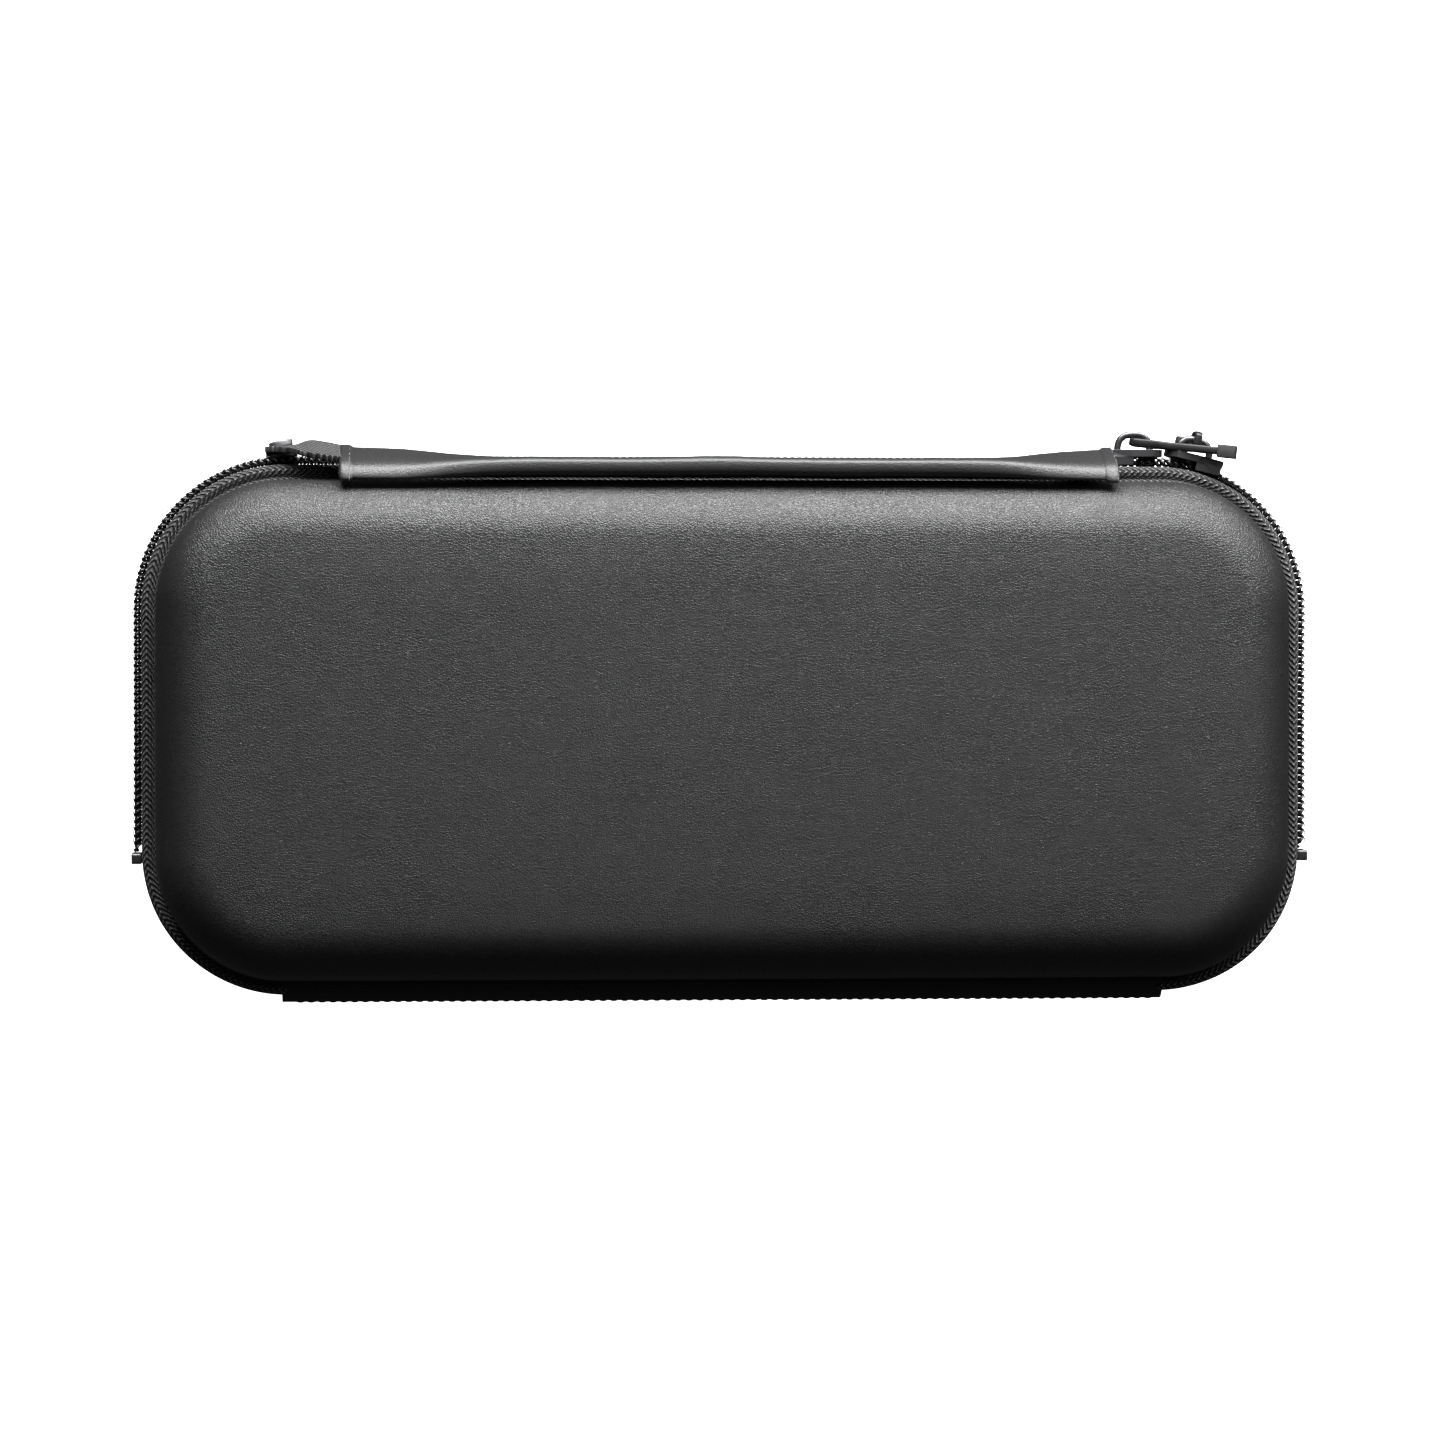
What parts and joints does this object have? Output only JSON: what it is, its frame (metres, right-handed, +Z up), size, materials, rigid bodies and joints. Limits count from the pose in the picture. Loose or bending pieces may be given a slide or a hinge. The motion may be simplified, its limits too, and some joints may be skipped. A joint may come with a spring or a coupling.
{
  "type": "headphone carrying case",
  "caption": "Slim rounded-rectangle hard zip case with a leather-look skin, wrap-round zip with facing sliders, fabric hinge and padded strap handle.",
  "frame": {"origin": "centre of the flat underside of the base shell", "axes": "+Z up out of the base through the lid, -Y to the handle and zip opening side, +Y to the fabric hinge, X along the length"},
  "size_m": [0.2408, 0.1177, 0.042],
  "materials": {
    "leather": "fine grained black polyurethane leather, satin",
    "handle_leather": "smooth black polyurethane leather, satin",
    "foam": "matt moulded foam",
    "lining": "brushed knit lining, matt",
    "zip_tape": "herringbone woven tape",
    "zip_coil": "nylon coil, slight sheen",
    "slider_metal": "black electro-coated die casting, gloss",
    "rivet_metal": "gunmetal, satin",
    "spine_fabric": "plain woven fabric, matt",
    "binding": "woven binding, matt",
    "net": "open knitted net",
    "elastic": "ribbed elastic",
    "webbing": "ribbed webbing",
    "pull_black": "black coated, satin",
    "pull_tip": "moulded tip, satin"
  },
  "bodies": {
    "base": {"base_skin": "leather", "base_core": "foam", "base_lining": "lining", "base_zip_tape": "zip_tape", "base_zip_coil": "zip_coil", "base_end_stops": "slider_metal", "base_spine_strip": "spine_fabric", "base_spine_lining": "lining", "base_binding": "binding", "anchor_tabs": "webbing", "handle_rivet": "rivet_metal"},
    "lid": {"lid_skin": "leather", "lid_core": "foam", "lid_lining": "lining", "lid_zip_tape": "zip_tape", "lid_zip_coil": "zip_coil", "lid_end_stops": "slider_metal", "lid_spine_strip": "spine_fabric", "lid_spine_lining": "lining", "lid_binding": "binding", "mesh_pocket": "net", "pocket_edging": "binding", "pocket_elastic": "elastic"},
    "handle": {"handle_webbing": "webbing", "handle_far_tail": "webbing", "handle_filler": "foam", "handle_sleeve": "handle_leather", "handle_hems": "handle_leather"},
    "slider_a": {"slider_a": "slider_metal"},
    "slider_b": {"slider_b": "slider_metal"},
    "pull_a": {"pull_a_plate": "pull_black", "pull_a_tip": "pull_tip"},
    "pull_b": {"pull_b_plate": "pull_black", "pull_b_tip": "pull_tip"}
  },
  "joints": [
    {"name": "lid_hinge", "type": "hinge", "parent": "base", "child": "lid", "pos_m": [0, 0.0555, 0.021], "axis": [-1, 0, 0], "range_deg": [0, 180], "deforming": ["lid_zip_tape", "lid_zip_coil"]},
    {"name": "handle_swing", "type": "hinge", "parent": "base", "child": "handle", "pos_m": [0, -0.0569, 0.0216], "axis": [1, 0, 0], "range_deg": [0, 180], "deforming": ["handle_webbing", "handle_far_tail"]},
    {"name": "slider_a_run", "type": "slide", "parent": "base", "child": "slider_a", "axis": [1, 0, 0], "range_m": [0, 0.0185], "deforming": ["handle_far_tail", "anchor_tabs"]},
    {"name": "slider_b_run", "type": "hinge", "parent": "base", "child": "slider_b", "pos_m": [-0.089, -0.0245, 0.021], "axis": [0, 0, -1], "range_deg": [0, 74]},
    {"name": "pull_a_flip", "type": "hinge", "parent": "slider_a", "child": "pull_a", "pos_m": [-0.0846, -0.0589, 0.021], "axis": [0.3169, -0.0166, 0.9483], "range_deg": [0, 165]},
    {"name": "pull_b_flip", "type": "hinge", "parent": "slider_b", "child": "pull_b", "pos_m": [-0.0977, -0.05941, 0.021], "axis": [-0.9703, 0.2419, 0], "range_deg": [0, 135]}
  ]
}
